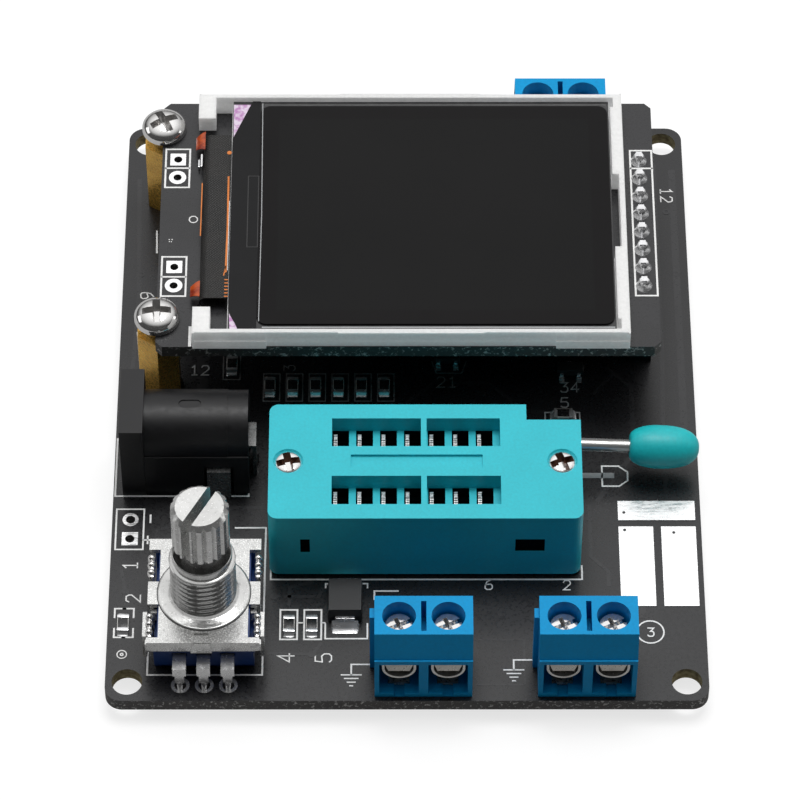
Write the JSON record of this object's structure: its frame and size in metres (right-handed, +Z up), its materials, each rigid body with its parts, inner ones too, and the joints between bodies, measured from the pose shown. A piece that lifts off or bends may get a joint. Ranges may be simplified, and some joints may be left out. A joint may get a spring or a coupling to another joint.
{
  "type": "component tester",
  "caption": "Bare-board component tester with raised display, lever test socket, push encoder, power jack and screw terminals.",
  "frame": {"origin": "centre of the four-hole mounting pattern, on the underside of the main board", "axes": "+Z up out of the board's component side, +Y from the user towards the display, +X to the right"},
  "size_m": [0.063, 0.079, 0.0247],
  "materials": {
    "black_board": "matt",
    "tinned": "satin",
    "solder": "bright",
    "white_moulding": "matt",
    "diffuser": "satin",
    "dark_glass": "polished",
    "black_film": "glossy",
    "black_tape": "satin",
    "flex_circuit": "satin",
    "black_plastic": "matt",
    "brass": "turned",
    "bright_steel": "bright",
    "turquoise_plastic": "satin",
    "dark_blue_plastic": "satin",
    "zinc": "cast",
    "blue_plastic": "satin",
    "chip_black": "satin",
    "chip_tan": "satin"
  },
  "bodies": {
    "tester": {"main_board": "black_board", "test_pads": "tinned", "edge_solder": "solder", "socket_solder": "solder", "lcd_board": "black_board", "lcd_frame": "white_moulding", "lcd_backlight": "diffuser", "lcd_glass": "dark_glass", "lcd_polarizer": "black_film", "lcd_tape": "black_tape", "lcd_flex": "flex_circuit", "lcd_header_pins": "solder", "lcd_header_strip": "black_plastic", "lcd_header_socket": "black_plastic", "lcd_standoffs": "brass", "lcd_upper_screws": "bright_steel", "lcd_lower_screws": "bright_steel", "zif_base": "turquoise_plastic", "zif_cover": "turquoise_plastic", "zif_contacts": "tinned", "zif_cover_screws": "bright_steel", "encoder_base": "dark_blue_plastic", "encoder_frame": "zinc", "encoder_bushing": "zinc", "encoder_dome": "bright_steel", "encoder_pins": "tinned", "jack_housing": "black_plastic", "jack_center_pin": "tinned", "jack_spring": "tinned", "jack_side_contact": "tinned", "left_terminal_housing": "blue_plastic", "left_terminal_contacts": "tinned", "right_terminal_housing": "blue_plastic", "right_terminal_contacts": "tinned", "back_terminal_housing": "blue_plastic", "back_terminal_contacts": "tinned", "microcontroller": "black_plastic", "microcontroller_socket": "black_plastic", "crystal": "bright_steel", "suppressor_diode": "black_plastic", "chip_resistors": "chip_black", "chip_transistors": "black_plastic", "chip_capacitors": "chip_tan"},
    "encoder_rotor_body": {"encoder_rotor": "white_moulding"},
    "encoder_shaft_body": {"encoder_shaft": "zinc"},
    "lever_body": {"zif_lever": "bright_steel", "zif_lever_knob": "turquoise_plastic"},
    "slider_body": {"zif_slider": "turquoise_plastic"},
    "left_guard_a_body": {"left_terminal_guard_a": "bright_steel"},
    "left_screw_a_body": {"left_terminal_screw_a": "bright_steel"},
    "left_guard_b_body": {"left_terminal_guard_b": "bright_steel"},
    "left_screw_b_body": {"left_terminal_screw_b": "bright_steel"},
    "right_guard_a_body": {"right_terminal_guard_a": "bright_steel"},
    "right_screw_a_body": {"right_terminal_screw_a": "bright_steel"},
    "right_guard_b_body": {"right_terminal_guard_b": "bright_steel"},
    "right_screw_b_body": {"right_terminal_screw_b": "bright_steel"},
    "back_guard_a_body": {"back_terminal_guard_a": "bright_steel"},
    "back_screw_a_body": {"back_terminal_screw_a": "bright_steel"},
    "back_guard_b_body": {"back_terminal_guard_b": "bright_steel"},
    "back_screw_b_body": {"back_terminal_screw_b": "bright_steel"}
  },
  "joints": [
    {"name": "encoder_turn", "type": "hinge", "parent": "tester", "child": "encoder_rotor_body", "pos_m": [-0.02112, -0.0303, 0.0055], "axis": [0, 0, 1], "continuous": true},
    {"name": "encoder_press", "type": "slide", "parent": "encoder_rotor_body", "child": "encoder_shaft_body", "axis": [0, 0, -1], "range_m": [0, 0.0005], "stiffness_N_per_m": 8000, "springref_m": -0.0003},
    {"name": "lever_lift", "type": "hinge", "parent": "tester", "child": "lever_body", "pos_m": [0.0157, -0.00953, 0.0064], "axis": [0, -1, 0], "range_deg": [0, 90]},
    {"name": "slider_shift", "type": "slide", "parent": "tester", "child": "slider_body", "axis": [-1, 0, 0], "range_m": [0, 0.001]},
    {"name": "left_guard_a_slide", "type": "slide", "parent": "tester", "child": "left_guard_a_body", "axis": [0, 0, -1], "range_m": [-0.00025, 0.0015]},
    {"name": "left_screw_a_turn", "type": "hinge", "parent": "left_guard_a_body", "child": "left_screw_a_body", "pos_m": [-0.00084, -0.0356, 0.0086], "axis": [0, 0, 1], "range_deg": [-1080, 180]},
    {"name": "left_guard_b_slide", "type": "slide", "parent": "tester", "child": "left_guard_b_body", "axis": [0, 0, -1], "range_m": [-0.00025, 0.0015]},
    {"name": "left_screw_b_turn", "type": "hinge", "parent": "left_guard_b_body", "child": "left_screw_b_body", "pos_m": [0.00424, -0.0356, 0.0086], "axis": [0, 0, 1], "range_deg": [-1080, 180]},
    {"name": "right_guard_a_slide", "type": "slide", "parent": "tester", "child": "right_guard_a_body", "axis": [0, 0, -1], "range_m": [-0.00025, 0.0015]},
    {"name": "right_screw_a_turn", "type": "hinge", "parent": "right_guard_a_body", "child": "right_screw_a_body", "pos_m": [0.01616, -0.0356, 0.0086], "axis": [0, 0, 1], "range_deg": [-1080, 180]},
    {"name": "right_guard_b_slide", "type": "slide", "parent": "tester", "child": "right_guard_b_body", "axis": [0, 0, -1], "range_m": [-0.00025, 0.0015]},
    {"name": "right_screw_b_turn", "type": "hinge", "parent": "right_guard_b_body", "child": "right_screw_b_body", "pos_m": [0.02124, -0.0356, 0.0086], "axis": [0, 0, 1], "range_deg": [-1080, 180]},
    {"name": "back_guard_a_slide", "type": "slide", "parent": "tester", "child": "back_guard_a_body", "axis": [0, 0, -1], "range_m": [-0.00025, 0.0015]},
    {"name": "back_screw_a_turn", "type": "hinge", "parent": "back_guard_a_body", "child": "back_screw_a_body", "pos_m": [0.01994, 0.03605, 0.0086], "axis": [0, 0, 1], "range_deg": [-1080, 180]},
    {"name": "back_guard_b_slide", "type": "slide", "parent": "tester", "child": "back_guard_b_body", "axis": [0, 0, -1], "range_m": [-0.00025, 0.0015]},
    {"name": "back_screw_b_turn", "type": "hinge", "parent": "back_guard_b_body", "child": "back_screw_b_body", "pos_m": [0.01486, 0.03605, 0.0086], "axis": [0, 0, 1], "range_deg": [-1080, 180]}
  ],
  "couplings": [
    {"joint": "lever_lift", "follows": "slider_shift", "rad_per_m": 1570.8},
    {"joint": "left_screw_a_turn", "follows": "left_guard_a_slide", "rad_per_m": -12566},
    {"joint": "left_screw_b_turn", "follows": "left_guard_b_slide", "rad_per_m": -12566},
    {"joint": "right_screw_a_turn", "follows": "right_guard_a_slide", "rad_per_m": -12566},
    {"joint": "right_screw_b_turn", "follows": "right_guard_b_slide", "rad_per_m": -12566},
    {"joint": "back_screw_a_turn", "follows": "back_guard_a_slide", "rad_per_m": -12566},
    {"joint": "back_screw_b_turn", "follows": "back_guard_b_slide", "rad_per_m": -12566}
  ]
}
